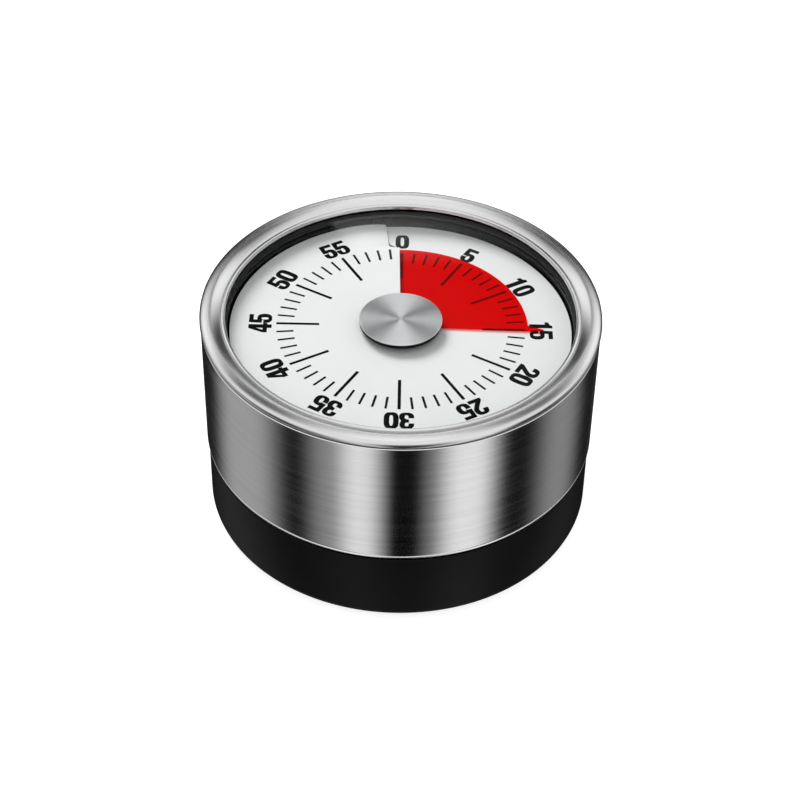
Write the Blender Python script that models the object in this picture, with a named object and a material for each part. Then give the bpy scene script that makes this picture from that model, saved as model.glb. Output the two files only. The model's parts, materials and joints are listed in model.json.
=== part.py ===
"""A wind-up kitchen timer: a steel drum that turns on a black base, with a red disc under its window.

The frame is the timer's own: +Z up, the middle of the foot's underside at the origin, and 0 on the dial
at +Y. Dial angles run clockwise from 0, in degrees. The timer is drawn set to 15 minutes. Sizes below are
in millimetres and degrees, and a shape becomes metres only where its mesh is made.
"""

import math

import bmesh
import bpy
from mathutils import Matrix

MM = 0.001
TAU = 2 * math.pi

# Driving sizes
OUTER_R = 38.0  # the bezel's rim
HEIGHT = 45.4
GAP = 0.3  # between pieces that touch
SEAT = 0.15  # under a screw's head or a shoulder
RING_SIDES = 40
DISC_SIDES = 32
SMALL_SIDES = 10
HOLE_SIDES = 8
START_TURN = math.radians(11)

# Drum
SHELL_R = 37.85
SHELL_WALL = 0.8
SHELL_LOW = 16.3
LIP_R = 33.2  # the bezel's inner edge
LIP_DROP = 0.65
LENS_R = 34.5
LENS_TOP = HEIGHT - 1.8
LENS_THICK = 1.0
SHELL_TOP = LENS_TOP
WELL_R = 32.9
WELL_TOP = LENS_TOP - LENS_THICK - 0.6
WELL_LOW = 38.9
LINER_LOW = 16.5
LINER_INNER_R = 35.0
SNAP_HIGH = 17.6  # the liner's snap rim goes under the neck's flange

# Hub, which joins the drum to the arbor through the window
HUB_CAP_R = 7.9
HUB_CAP_THICK = 0.3
CAP_TOP = LENS_TOP - LENS_THICK - 0.1
FLANGE_HIGH = CAP_TOP - HUB_CAP_THICK - 0.1
FLANGE_LOW = FLANGE_HIGH - 0.4
SLEEVE_R = 4.4
SLEEVE_FLAT = 4.0
SLEEVE_LOW = 34.3
ARBOR_R = 2.2
JOURNAL_R = 1.8

# Base
BASE_R = 37.55
BASE_WALL = 2.4
BASE_LOW = 0.6
DECK_Z = 15.5
DECK_THICK = 2.0
DECK_R = 27.5
NECK_R = 33.6
NECK_HIGH = 18.9
FOOT_R = 30.0
FOOT_WIDE = 2.4
FOOT_HIGH = 0.9
FLOOR_LOW = 1.2
FLOOR_HIGH = 2.8
BOSS_CIRCLE = 32.2
BOSS_R = 3.2
BOSS_HEADINGS = (90, 210, 330)
SOUND_SLOT_R = (22.8, 26.6)
MAGNET_R = (8.0, 19.6)
MAGNET_THICK = 3.4
KEEPER_WALL = 0.8
BELL_TOP = 14.3
BELL_R = 23.3
BELL_RIM = 8.6
BELL_WALL = 0.8

# Dial and disc: both are one turn of a screw surface, so that the disc comes up through the dial's slit
SET_MINUTES = 15
SET_ANGLE = SET_MINUTES * 6
DIAL_R = 32.5
DIAL_HOLE_R = 6.2
DIAL_THICK = 0.3
DISC_R = 24.2
DISC_HOLE_R = 5.4
DISC_THICK = 0.2
DISC_SWEEP = 354
DISC_LEAD = SET_ANGLE + 1.5
POINTER_R = 27.2
POINTER_SPAN = 3.6
SCREW_PITCH = 1.0
SCREW_MID = 40.4
SLIT_R = 24.6  # where the slit steps to the left of the 0 line
SLIT_STEP = 4.6
CARRIER_LOW = 36.8
CARRIER_FLOOR = 38.0
CARRIER_HOLE_R = 6.6
CARRIER_RIM_R = 27.8
CARRIER_R = 32.0
CARRIER_POSTS = (70, 190, 310)
CARRIER_POST_CIRCLE = 22.0

# Movement: plates, pillars and screws
FRAME_LOW = DECK_Z + GAP
PLATE_THICK = 1.0
FRAME_HIGH = 32.0
TOP_HIGH = FRAME_HIGH + PLATE_THICK
BOTTOM_R = 31.2
TOP_R = 29.3
PILLARS = (20, 140, 285)
PILLAR_CIRCLE = 27.0
MOVEMENT_SCREWS = (60, 180, 300)
MOVEMENT_SCREW_CIRCLE = 29.3
SCREW_HEAD = 0.65
SCREW_HOLE_R = 1.05
PLATE_HOLE_R = 1.1

# Movement: wheels, and the arbors that stand on one circle
ARBOR_CIRCLE = 18.5
TRAIN_ARBOR_R = 0.95
ARBOR_PIVOT_R = 0.7
PIVOT_HOLE_R = 0.95
MAIN_TEETH = 64
MAIN_MODULE = 0.5
DRIVEN_TEETH = 10
TRAIN_TEETH = 36
TRAIN_MODULE = 0.5
LEAF_TEETH = 8
ESCAPE_TEETH = 15
ESCAPE_R = 6.0
MAIN_Z = 19.0
SECOND_WHEEL_Z = 27.0
THIRD_WHEEL_Z = 29.2
ESCAPE_Z = 27.2
BALANCE_Z = 23.0
WHEEL_THICK = 0.9
LEVER_THICK = 0.8
PALLET_PIN_CIRCLE = 7.1
STAR_POINTS = 8
STAR_R = 4.2
STAR_Z = 17.5
RATCHET_TEETH = 18
RATCHET_R = 5.6
RATCHET_LOW = MAIN_Z + WHEEL_THICK + GAP
CAM_R = 7.5
CAM_Z = 28.5
LEVER_HEADING = 30  # where the release lever's nose meets the cam
SPRING_R = 11.5
SPRING_LOW = 21.9
SPRING_HIGH = 26.4

STEEL = ("brushed_steel", (0.62, 0.62, 0.63), 0.28, 1.0)
BLACK = ("black_plastic", (0.012, 0.012, 0.013), 0.45, 0.0)
GLOSSY_BLACK = ("glossy_black", (0.006, 0.006, 0.007), 0.15, 0.0)
CLEAR = ("clear_window", (0.9, 0.93, 0.94), 0.03, 0.0)
WHITE = ("white_dial", (0.9, 0.9, 0.9), 0.5, 0.0)
RED = ("red_film", (0.8, 0.01, 0.01), 0.2, 0.0)
RUBBER = ("grey_rubber", (0.03, 0.03, 0.03), 0.8, 0.0)
BRASS = ("brass", (0.75, 0.55, 0.2), 0.3, 1.0)
ZINC = ("zinc_steel", (0.55, 0.56, 0.58), 0.35, 1.0)
FERRITE = ("ferrite", (0.05, 0.05, 0.055), 0.6, 0.1)
BELL_METAL = ("bell_metal", (0.7, 0.68, 0.62), 0.22, 1.0)
WHITE_PLASTIC = ("white_plastic", (0.75, 0.75, 0.73), 0.5, 0.0)


# ---- Helpers ----


def clear_scene():
    for thing in list(bpy.data.objects):
        bpy.data.objects.remove(thing)


def material(finish):
    name, colour, roughness, metallic = finish
    made = bpy.data.materials.get(name)
    if made is None:
        made = bpy.data.materials.new(name)
        made.use_nodes = True
        shader = made.node_tree.nodes["Principled BSDF"]
        shader.inputs["Base Color"].default_value = (*colour, 1)
        shader.inputs["Roughness"].default_value = roughness
        shader.inputs["Metallic"].default_value = metallic
        made.diffuse_color = (*colour, 1)
    return made


def polar(radius, degrees):
    return (radius * math.cos(math.radians(degrees)), radius * math.sin(math.radians(degrees)))


def between(a, b):
    """Length and heading in degrees from point a to point b."""
    return math.dist(a, b), math.degrees(math.atan2(b[1] - a[1], b[0] - a[0]))


def link(name, shape, finish, at=(0, 0)):
    """The bmesh, in millimetres about the point at, as an object placed there."""
    bmesh.ops.scale(shape, vec=(MM, MM, MM), verts=shape.verts)
    bmesh.ops.recalc_face_normals(shape, faces=shape.faces)
    mesh = bpy.data.meshes.new(name)
    shape.to_mesh(mesh)
    shape.free()
    mesh.shade_smooth()
    mesh.set_sharp_from_angle(angle=math.radians(35))
    mesh.materials.append(material(finish))
    made = bpy.data.objects.new(name, mesh)
    made.location = (at[0] * MM, at[1] * MM, 0)
    bpy.context.scene.collection.objects.link(made)
    return made


def turned_mesh(profile, sides):
    """A closed profile of (radius, height) spun once round Z. Pieces with few sides start a little round
    from +X, so that their corners stay off the flat sides of what they are joined to.
    """
    shape = bmesh.new()
    ring = [shape.verts.new((r, 0, z)) for r, z in profile]
    edges = [shape.edges.new((a, b)) for a, b in zip(ring, ring[1:] + ring[:1])]
    bmesh.ops.spin(
        shape, geom=ring + edges, axis=(0, 0, 1), cent=(0, 0, 0), angle=TAU, steps=sides, use_merge=True
    )
    bmesh.ops.remove_doubles(shape, verts=shape.verts, dist=1e-4)
    loose = [edge for edge in shape.edges if not edge.link_faces]
    bmesh.ops.delete(shape, geom=loose, context="EDGES")
    if sides < RING_SIDES:
        bmesh.ops.rotate(shape, cent=(0, 0, 0), matrix=Matrix.Rotation(START_TURN, 3, "Z"), verts=shape.verts)
    return shape


def turned(name, profile, finish, sides=RING_SIDES, at=(0, 0)):
    return link(name, turned_mesh(profile, sides), finish, at)


def plate_mesh(loops, low, high):
    """Flat outlines, the first one outside and the rest its holes, made a plate from low to high."""
    shape = bmesh.new()
    edges = []
    for loop in loops:
        ring = [shape.verts.new((x, y, low)) for x, y in loop]
        edges += [shape.edges.new((a, b)) for a, b in zip(ring, ring[1:] + ring[:1])]
    bmesh.ops.triangle_fill(shape, edges=edges, use_beauty=True, normal=(0, 0, 1))
    grown = bmesh.ops.extrude_face_region(shape, geom=shape.faces[:])
    top = [item for item in grown["geom"] if isinstance(item, bmesh.types.BMVert)]
    bmesh.ops.translate(shape, vec=(0, 0, high - low), verts=top)
    return shape


def plate(name, loops, low, high, finish, at=(0, 0)):
    return link(name, plate_mesh(loops, low, high), finish, at)


def circle(radius, sides=SMALL_SIDES, at=(0, 0), start=0.0):
    turns = [start + TAU * i / sides for i in range(sides)]
    return [(at[0] + radius * math.cos(turn), at[1] + radius * math.sin(turn)) for turn in turns]


def arc(radius, start, end, steps, at=(0, 0)):
    """Points on a circle from one heading to another, in degrees."""
    return [
        (at[0] + polar(radius, start + (end - start) * i / steps)[0],
         at[1] + polar(radius, start + (end - start) * i / steps)[1])
        for i in range(steps + 1)
    ]


def bar(a, b, width_a, width_b, steps=4):
    """The outline of a straight arm from a to b with rounded ends."""
    heading = between(a, b)[1]
    return (
        arc(width_a / 2, heading + 90, heading + 270, steps, a)
        + arc(width_b / 2, heading - 90, heading + 90, steps, b)
    )


def joined(base, *others):
    """Boolean union of finished objects. The added ones stay hidden as guides."""
    for other in others:
        other.hide_render = True
        other.display_type = "WIRE"
        union = base.modifiers.new("join " + other.name, "BOOLEAN")
        union.operation = "UNION"
        union.solver = "EXACT"
        union.object = other
    return base


def cut(base, *cutters):
    for cutter in cutters:
        cutter.hide_render = True
        cutter.display_type = "WIRE"
        difference = base.modifiers.new("cut " + cutter.name, "BOOLEAN")
        difference.operation = "DIFFERENCE"
        difference.solver = "EXACT"
        difference.object = cutter
    return base


def post(name, radius, low, high, finish, at=(0, 0), sides=SMALL_SIDES):
    return turned(name, [(0, low), (radius, low), (radius, high), (0, high)], finish, sides, at)


def screw(name, head_r, head_low, head_high, shaft_r, tip, finish, at):
    """A pan-head screw. The head may be above or below the shaft's tip."""
    rim = head_low if tip < head_low else head_high
    crown = head_high if tip < head_low else head_low
    profile = [(0, crown), (head_r, crown), (head_r, rim), (shaft_r, rim), (shaft_r, tip), (0, tip)]
    return turned(name, profile, finish, SMALL_SIDES, at)


def gear_outline(teeth, module, addendum, dedendum, tip_half, root_half, heading):
    """Straight-sided teeth, one of them centred on the heading. Half widths are shares of the pitch."""
    pitch_r = teeth * module / 2
    pitch = 360 / teeth
    points = []
    for i in range(teeth):
        middle = heading + i * pitch
        points += [
            polar(pitch_r - dedendum * module, middle - root_half * pitch),
            polar(pitch_r + addendum * module, middle - tip_half * pitch),
            polar(pitch_r + addendum * module, middle + tip_half * pitch),
            polar(pitch_r - dedendum * module, middle + root_half * pitch),
        ]
    return points


def wheel_outline(teeth, module, heading):
    return gear_outline(teeth, module, 0.9, 1.15, 0.12, 0.28, heading)


def pinion_outline(teeth, module, heading):
    return gear_outline(teeth, module, 0.8, 1.25, 0.10, 0.28, heading)


def spoked(radius_in, radius_out, spokes, width, heading=0.0):
    """The windows between a wheel's straight spokes."""
    windows = []
    step = 360 / spokes
    for i in range(spokes):
        middle = heading + (i + 0.5) * step
        half_in = step / 2 - math.degrees(math.asin(width / 2 / radius_in))
        half_out = step / 2 - math.degrees(math.asin(width / 2 / radius_out))
        windows.append(
            arc(radius_in, middle - half_in, middle + half_in, 2)
            + arc(radius_out, middle + half_out, middle - half_out, 4)
        )
    return windows


def screw_z(dial_angle):
    """Height of the disc's middle surface at rest, at an angle clockwise from 0."""
    return SCREW_MID + SCREW_PITCH * dial_angle / 360


def screw_point(radius, dial_angle, lift):
    x, y = polar(radius, 90 - dial_angle)
    return (x, y, screw_z(dial_angle) + lift)


def sheet_mesh(points, faces, thick):
    """A surface of points and faces given a thickness straight up and down, with its free edges closed."""
    shape = bmesh.new()
    upper = [shape.verts.new((x, y, z + thick / 2)) for x, y, z in points]
    lower = [shape.verts.new((x, y, z - thick / 2)) for x, y, z in points]
    used = {}
    for face in faces:
        shape.faces.new([upper[i] for i in face])
        shape.faces.new([lower[i] for i in reversed(face)])
        for a, b in zip(face, face[1:] + face[:1]):
            used[(a, b)] = True
    for a, b in used:
        if (b, a) not in used:
            shape.faces.new([upper[b], upper[a], lower[a], lower[b]])
    return shape


# Where the arbors and levers stand. Each wheel has a tooth on the line to the pinion that it drives.
SECOND_HEADING = 200.0
TRAIN_REACH = (TRAIN_TEETH + LEAF_TEETH) * TRAIN_MODULE / 2
TRAIN_STEP = math.degrees(2 * math.asin(TRAIN_REACH / 2 / ARBOR_CIRCLE))
SECOND_AT = polar(ARBOR_CIRCLE, SECOND_HEADING)
THIRD_AT = polar(ARBOR_CIRCLE, SECOND_HEADING + TRAIN_STEP)
ESCAPE_AT = polar(ARBOR_CIRCLE, SECOND_HEADING + 2 * TRAIN_STEP)
BALANCE_AT = polar(ARBOR_CIRCLE, 300.3)
STRIKE_HEADING = SECOND_HEADING - 25 * 360 / MAIN_TEETH
STRIKE_AT = polar(ARBOR_CIRCLE, STRIKE_HEADING)
HAMMER_CIRCLE = 25.9
HAMMER_AT = polar(HAMMER_CIRCLE, 40)
HEAD_AT = polar(HAMMER_CIRCLE, 14)
FINGER_AT = (11.2, 21.0)
RELEASE_AT = (0.25, 15.2)
RELEASE_STOP_AT = (9.3, 21.6)
CLICK_AT = polar(9.0, 150)


# ---- Drum ----


def build_drum():
    rim_low = SHELL_TOP + GAP
    lip_top = HEIGHT - LIP_DROP
    turned("bezel", [
        (LIP_R, rim_low), (SHELL_R, rim_low), (OUTER_R, rim_low + 0.3), (OUTER_R, HEIGHT - 0.6),
        (OUTER_R - 0.5, HEIGHT - 0.15), (OUTER_R - 1.6, HEIGHT), (LIP_R + 1.0, lip_top - 0.1),
        (LIP_R, lip_top),
    ], STEEL)
    inner = SHELL_R - SHELL_WALL
    turned("drum_shell", [
        (inner, SHELL_LOW), (SHELL_R - 0.2, SHELL_LOW), (SHELL_R, SHELL_LOW + 0.2), (SHELL_R, SHELL_TOP),
        (inner, SHELL_TOP),
    ], STEEL)
    outside = inner - GAP
    pocket_r = LENS_R + GAP
    turned("drum_liner", [
        (NECK_R + GAP, LINER_LOW), (outside, LINER_LOW), (outside, SHELL_TOP), (pocket_r, SHELL_TOP),
        (pocket_r, WELL_TOP), (WELL_R, WELL_TOP), (WELL_R, WELL_LOW), (LINER_INNER_R, WELL_LOW),
        (LINER_INNER_R, SNAP_HIGH), (NECK_R + GAP, SNAP_HIGH),
    ], GLOSSY_BLACK)
    lens_low = LENS_TOP - LENS_THICK
    turned("lens", [
        (0, lens_low), (LENS_R, lens_low), (LENS_R, LENS_TOP - 0.2), (LENS_R - 0.2, LENS_TOP), (0, LENS_TOP),
    ], CLEAR)
    turned("lens_seal", [
        (WELL_R + 0.2, WELL_TOP + 0.1), (LENS_R, WELL_TOP + 0.1), (LENS_R, lens_low - 0.1),
        (WELL_R + 0.2, lens_low - 0.1),
    ], RUBBER)
    cap_low = CAP_TOP - HUB_CAP_THICK
    turned("hub_cap", [
        (0, cap_low), (HUB_CAP_R, cap_low), (HUB_CAP_R, CAP_TOP - 0.1), (HUB_CAP_R - 0.15, CAP_TOP),
        (0, CAP_TOP),
    ], STEEL, DISC_SIDES)


def keyed_circle(radius, flat, sides=24):
    """A circle with two flats, at +X and -X."""
    return [(max(-flat, min(flat, x)), y) for x, y in circle(radius, sides, start=TAU / sides / 2)]


def build_hub():
    """The hub's sleeve drives the red disc by its two flats, and its flange carries the cap."""
    flange_middle = (FLANGE_LOW + FLANGE_HIGH) / 2
    hub = plate("hub_body", [keyed_circle(SLEEVE_R, SLEEVE_FLAT)], SLEEVE_LOW, flange_middle, BLACK)
    flange = post("hub_flange", HUB_CAP_R - 0.4, FLANGE_LOW, FLANGE_HIGH, BLACK, sides=DISC_SIDES)
    bore = post("hub_bore", JOURNAL_R + 0.1, SLEEVE_LOW - 4, FLANGE_LOW - 0.1, BLACK)
    cut(joined(hub, flange), bore)
    groove_r, groove_low, groove_high = 1.4, 33.4, 34.0
    shoulder = FRAME_LOW + PLATE_THICK + GAP
    arbor_top = FLANGE_LOW - 0.4
    turned("main_arbor", [
        (0, FRAME_LOW + 0.1), (groove_r, FRAME_LOW + 0.1), (groove_r, shoulder), (ARBOR_R, shoulder + 0.1),
        (ARBOR_R, FRAME_HIGH - GAP), (JOURNAL_R, FRAME_HIGH - GAP), (JOURNAL_R, groove_low),
        (groove_r, groove_low), (groove_r, groove_high), (JOURNAL_R, groove_high), (JOURNAL_R, arbor_top),
        (0, arbor_top),
    ], ZINC, 20)
    clip = arc(3.4, 30, 330, 10) + arc(groove_r + 0.1, 330, 30, 8)
    plate("arbor_clip", [clip], groove_low + 0.1, groove_high - 0.1, ZINC)


def build_arbor_pieces():
    """The ratchet wheel and the alarm cam, both fixed to the arbor."""
    teeth = []
    pitch = 360 / RATCHET_TEETH
    for i in range(RATCHET_TEETH):
        teeth += [polar(RATCHET_R - 0.9, (i + 0.06) * pitch), polar(RATCHET_R, (i + 0.94) * pitch)]
    plate("ratchet_wheel", [teeth, circle(ARBOR_R + 0.1, 20)], RATCHET_LOW, RATCHET_LOW + LEVER_THICK, ZINC)
    notch = LEVER_HEADING - SET_ANGLE  # it comes under the lever's nose when the dial reaches 0
    notch_r = CAM_R - 1.8
    cam = arc(CAM_R, notch + 12, notch + 348, 24) + [polar(notch_r, notch - 2), polar(notch_r, notch + 4)]
    plate("alarm_cam", [cam, circle(ARBOR_R + 0.1, 20)], CAM_Z, CAM_Z + LEVER_THICK, WHITE_PLASTIC)


# ---- Red disc ----


def disc_edge(dial_angle):
    """Outer radius of the red disc: round, with a small pointer at its leading edge."""
    rises = [
        (DISC_LEAD - POINTER_SPAN, DISC_R), (DISC_LEAD - 1.3, POINTER_R), (DISC_LEAD - 0.6, POINTER_R),
        (DISC_LEAD, DISC_R + 0.6),
    ]
    if dial_angle <= rises[0][0]:
        return DISC_R
    for (a, r_a), (b, r_b) in zip(rises, rises[1:]):
        if dial_angle <= b:
            return r_a + (r_b - r_a) * (dial_angle - a) / (b - a)
    return rises[-1][1]


def build_disc():
    steps = 40
    start = DISC_LEAD - DISC_SWEEP
    plain = DISC_SWEEP - POINTER_SPAN
    angles = [start + plain * i / steps for i in range(steps + 1)]
    angles += [DISC_LEAD - 1.3, DISC_LEAD - 0.6, DISC_LEAD]
    points = []
    for angle in angles:
        points += [screw_point(DISC_HOLE_R, angle, 0), screw_point(disc_edge(angle), angle, 0)]
    faces = [[2 * i, 2 * i + 1, 2 * i + 3, 2 * i + 2] for i in range(len(angles) - 1)]
    link("red_disc", sheet_mesh(points, faces, DISC_THICK), RED)
    collar = [keyed_circle(DISC_HOLE_R - 0.2, DISC_HOLE_R), keyed_circle(SLEEVE_R + GAP, SLEEVE_FLAT + GAP)]
    plate("disc_collar", collar, screw_z(start) - DISC_THICK, screw_z(DISC_LEAD) + DISC_THICK, RED)


# ---- Dial ----


def build_dial():
    """The slit is a radial cut at 0 near the hub, and steps to the left outside the disc's path."""
    inner_angles = [360 * i / 40 for i in range(40)] + [360 - SLIT_STEP, 360]
    outer_angles = [-SLIT_STEP] + [360 * i / 40 for i in range(40)] + [360 - SLIT_STEP]
    points = []
    index = {}
    for angle in sorted(set(inner_angles + outer_angles)):
        for radius in (DIAL_HOLE_R, SLIT_R, DIAL_R):
            index[(angle, radius)] = len(points)
            points.append(screw_point(radius, angle, -SCREW_PITCH / 2))
    faces = []
    for angles, near, far in ((inner_angles, DIAL_HOLE_R, SLIT_R), (outer_angles, SLIT_R, DIAL_R)):
        for a, b in zip(angles, angles[1:]):
            faces.append([index[(a, near)], index[(a, far)], index[(b, far)], index[(b, near)]])
    wanted = sorted({i for face in faces for i in face})
    place = {old: new for new, old in enumerate(wanted)}
    faces = [[place[i] for i in face] for face in faces]
    link("dial_plate", sheet_mesh([points[i] for i in wanted], faces, DIAL_THICK), WHITE)


def build_carrier():
    """A dish whose rim follows the screw surface just under the dial, split where the slit runs out."""
    shape = bmesh.new()
    rings = []
    start, end, steps = -SLIT_STEP + 0.5, 360 - SLIT_STEP - 0.5, 30
    for i in range(steps + 1):
        angle = start + (end - start) * i / steps
        rim = screw_z(angle) - SCREW_PITCH / 2 - DIAL_THICK / 2 - 0.15
        profile = [
            (CARRIER_HOLE_R, CARRIER_LOW), (CARRIER_R, CARRIER_LOW), (CARRIER_R, rim), (CARRIER_RIM_R, rim),
            (CARRIER_RIM_R, CARRIER_FLOOR), (CARRIER_HOLE_R, CARRIER_FLOOR),
        ]
        rings.append([shape.verts.new((*polar(r, 90 - angle), z)) for r, z in profile])
    for a, b in zip(rings, rings[1:]):
        for j in range(len(a)):
            k = (j + 1) % len(a)
            shape.faces.new([a[j], a[k], b[k], b[j]])
    shape.faces.new(rings[0])
    shape.faces.new(list(reversed(rings[-1])))
    carrier = link("dial_carrier", shape, BLACK)
    for i, heading in enumerate(CARRIER_POSTS, 1):
        at = polar(CARRIER_POST_CIRCLE, heading)
        cut(carrier, post(f"carrier_hole_{i}", SCREW_HOLE_R, CARRIER_LOW - 1, CARRIER_FLOOR + 1, BLACK, at))
        sides = [circle(1.9), circle(SCREW_HOLE_R)]
        plate(f"carrier_post_{i}", sides, TOP_HIGH + GAP, CARRIER_LOW - GAP, BRASS, at)
        seat = CARRIER_FLOOR + SEAT
        screw(f"carrier_screw_{i}", 1.6, seat, seat + SCREW_HEAD, 0.75, FRAME_HIGH - 0.4, ZINC, at)


# ---- Base ----


def build_base():
    inner = BASE_R - BASE_WALL
    neck_inner = NECK_R - 2
    cup = turned("base_cup", [
        (BASE_R - 1.1, BASE_LOW), (BASE_R - 0.35, BASE_LOW + 0.3), (BASE_R, BASE_LOW + 1.2),
        (BASE_R, DECK_Z - 0.3), (BASE_R - 0.3, DECK_Z), (NECK_R, DECK_Z), (NECK_R, NECK_HIGH - 1),
        (NECK_R + 1, NECK_HIGH - 1),
        (NECK_R + 1, NECK_HIGH), (neck_inner, NECK_HIGH), (neck_inner, DECK_Z), (DECK_R, DECK_Z),
        (DECK_R, DECK_Z - DECK_THICK), (inner, DECK_Z - DECK_THICK), (inner, BASE_LOW),
    ], BLACK)
    for i, heading in enumerate(BOSS_HEADINGS, 1):
        at = polar(BOSS_CIRCLE, heading)
        joined(cup, post(f"base_boss_{i}", BOSS_R, FLOOR_HIGH + GAP, DECK_Z - 1, BLACK, at))
        screw(f"base_screw_{i}", 1.9, 0.2, FLOOR_LOW - SEAT, 0.9, 9.0, ZINC, at)
    for i, heading in enumerate(BOSS_HEADINGS, 1):
        cut(cup, post(f"boss_hole_{i}", 1.15, 0, 9.6, BLACK, polar(BOSS_CIRCLE, heading), HOLE_SIDES))
    for i, heading in enumerate(MOVEMENT_SCREWS, 1):
        at = polar(MOVEMENT_SCREW_CIRCLE, heading)
        cut(cup, post(f"deck_hole_{i}", SCREW_HOLE_R, DECK_Z - 4, DECK_Z + 4, BLACK, at))
    near, far = SOUND_SLOT_R
    slots = [arc(near, h - 20, h + 20, 4) + arc(far, h + 20, h - 20, 4) for h in range(0, 360, 60)]
    holes = [circle(1.25, HOLE_SIDES, polar(BOSS_CIRCLE, h)) for h in BOSS_HEADINGS]
    floor = [circle(inner - GAP, RING_SIDES), circle(1.5)] + slots + holes
    plate("base_plate", floor, FLOOR_LOW, FLOOR_HIGH, BLACK)
    near = FOOT_R - FOOT_WIDE
    turned("rubber_foot", [(near, 0), (FOOT_R, 0), (FOOT_R, FOOT_HIGH), (near, FOOT_HIGH)], RUBBER)


def build_magnet():
    """A ring magnet on the floor plate, under a steel keeper that turns down round its rim."""
    near, far = MAGNET_R
    low = FLOOR_HIGH + GAP
    high = low + MAGNET_THICK
    turned("magnet", [(near, low), (far, low), (far, high), (near, high)], FERRITE, DISC_SIDES)
    keeper_low = high + GAP
    keeper_high = keeper_low + KEEPER_WALL
    hole_r, skirt_r = near - 1.2, far + 0.4
    turned("magnet_keeper", [
        (hole_r, keeper_low), (skirt_r, keeper_low), (skirt_r, low), (skirt_r + KEEPER_WALL + 0.1, low),
        (skirt_r + KEEPER_WALL + 0.1, keeper_high), (hole_r, keeper_high),
    ], ZINC, DISC_SIDES)


def build_bell():
    """An open bell, mouth down, on a post that stands on the floor plate."""
    inside = BELL_TOP - BELL_WALL
    turned("bell", [
        (1.6, inside), (BELL_R - 4.5, inside), (BELL_R - 1.9, BELL_TOP - 2.2), (BELL_R - BELL_WALL, BELL_RIM),
        (BELL_R, BELL_RIM), (BELL_R - 1, BELL_TOP - 1.6), (BELL_R - 4, BELL_TOP), (1.6, BELL_TOP),
    ], BELL_METAL, 28)
    post_r, spigot_r, bore_r, bore_low = 3, 1.2, 1.1, 9
    turned("bell_post", [
        (0, FLOOR_LOW + 0.1), (spigot_r, FLOOR_LOW + 0.1), (spigot_r, FLOOR_HIGH + GAP),
        (post_r, FLOOR_HIGH + GAP), (post_r, inside - SEAT), (bore_r, inside - SEAT), (bore_r, bore_low),
        (0, bore_low),
    ], BRASS, SMALL_SIDES)
    screw("bell_screw", 2.4, BELL_TOP + SEAT, BELL_TOP + 0.95, 0.8, bore_low + 0.6, ZINC, (0, 0))


# ---- Movement ----

def hole_ring(headings, radius):
    return [circle(PLATE_HOLE_R, HOLE_SIDES, polar(radius, heading)) for heading in headings]


def build_frame():
    pivots = [SECOND_AT, THIRD_AT, ESCAPE_AT, BALANCE_AT, STRIKE_AT, HAMMER_AT]
    pivot_holes = [circle(PIVOT_HOLE_R, HOLE_SIDES, at) for at in pivots]
    pillar_holes = hole_ring(PILLARS, PILLAR_CIRCLE)
    loops = [circle(BOTTOM_R, RING_SIDES), circle(1.7)] + pivot_holes + pillar_holes
    loops += hole_ring(MOVEMENT_SCREWS, MOVEMENT_SCREW_CIRCLE)
    floor = FRAME_LOW + PLATE_THICK
    plate("bottom_plate", loops, FRAME_LOW, floor, BRASS)
    release_hole = circle(PIVOT_HOLE_R, HOLE_SIDES, RELEASE_AT)
    loops = [circle(TOP_R, RING_SIDES), circle(JOURNAL_R + GAP), release_hole] + pivot_holes + pillar_holes
    loops += hole_ring(CARRIER_POSTS, CARRIER_POST_CIRCLE)
    plate("top_plate", loops, FRAME_HIGH, TOP_HIGH, BRASS)
    pillar_r, spigot_r, bore_low = 1.8, 0.8, 26.0
    for i, heading in enumerate(PILLARS, 1):
        at = polar(PILLAR_CIRCLE, heading)
        turned(f"pillar_{i}", [
            (0, FRAME_LOW + 0.1), (spigot_r, FRAME_LOW + 0.1), (spigot_r, floor + SEAT),
            (pillar_r, floor + SEAT), (pillar_r, FRAME_HIGH - SEAT), (SCREW_HOLE_R, FRAME_HIGH - SEAT),
            (SCREW_HOLE_R, bore_low),
            (0, bore_low),
        ], BRASS, SMALL_SIDES, at)
        seat = TOP_HIGH + SEAT
        screw(f"pillar_screw_{i}", 1.6, seat, seat + SCREW_HEAD, 0.75, bore_low + 0.6, ZINC, at)
    for i, heading in enumerate(MOVEMENT_SCREWS, 1):
        at = polar(MOVEMENT_SCREW_CIRCLE, heading)
        seat = floor + SEAT
        screw(f"movement_screw_{i}", 1.5, seat, seat + SCREW_HEAD, 0.75, DECK_Z - 1.8, ZINC, at)


def build_spring():
    """A flat strip wound in whole turns from the arbor out to a post that hangs from the top plate."""
    turns, steps, strip = 4, 52, 0.4
    near = ARBOR_R + 0.8
    line = [polar(near + (SPRING_R - near) * i / steps, 360 * turns * i / steps) for i in range(steps + 1)]
    sides = []
    for side in (strip / 2, -strip / 2):
        sides.append([polar(math.hypot(x, y) + side, math.degrees(math.atan2(y, x))) for x, y in line])
    plate("mainspring", [sides[0] + sides[1][::-1]], SPRING_LOW, SPRING_HIGH, ZINC)
    post_r = 1.0
    post_at = (SPRING_R + strip / 2 + GAP + post_r, 0)
    post("spring_post", post_r, SPRING_LOW - 0.4, FRAME_HIGH - SEAT, ZINC, post_at)


def arbor(name, at, wide, low, high):
    """A plain arbor with a pivot at each end, in the plates' holes."""
    return turned(name, [
        (0, FRAME_LOW + 0.1), (ARBOR_PIVOT_R, FRAME_LOW + 0.1), (ARBOR_PIVOT_R, low), (wide, low),
        (wide, high), (ARBOR_PIVOT_R, high), (ARBOR_PIVOT_R, TOP_HIGH - 0.1), (0, TOP_HIGH - 0.1),
    ], ZINC, SMALL_SIDES, at)


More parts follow.
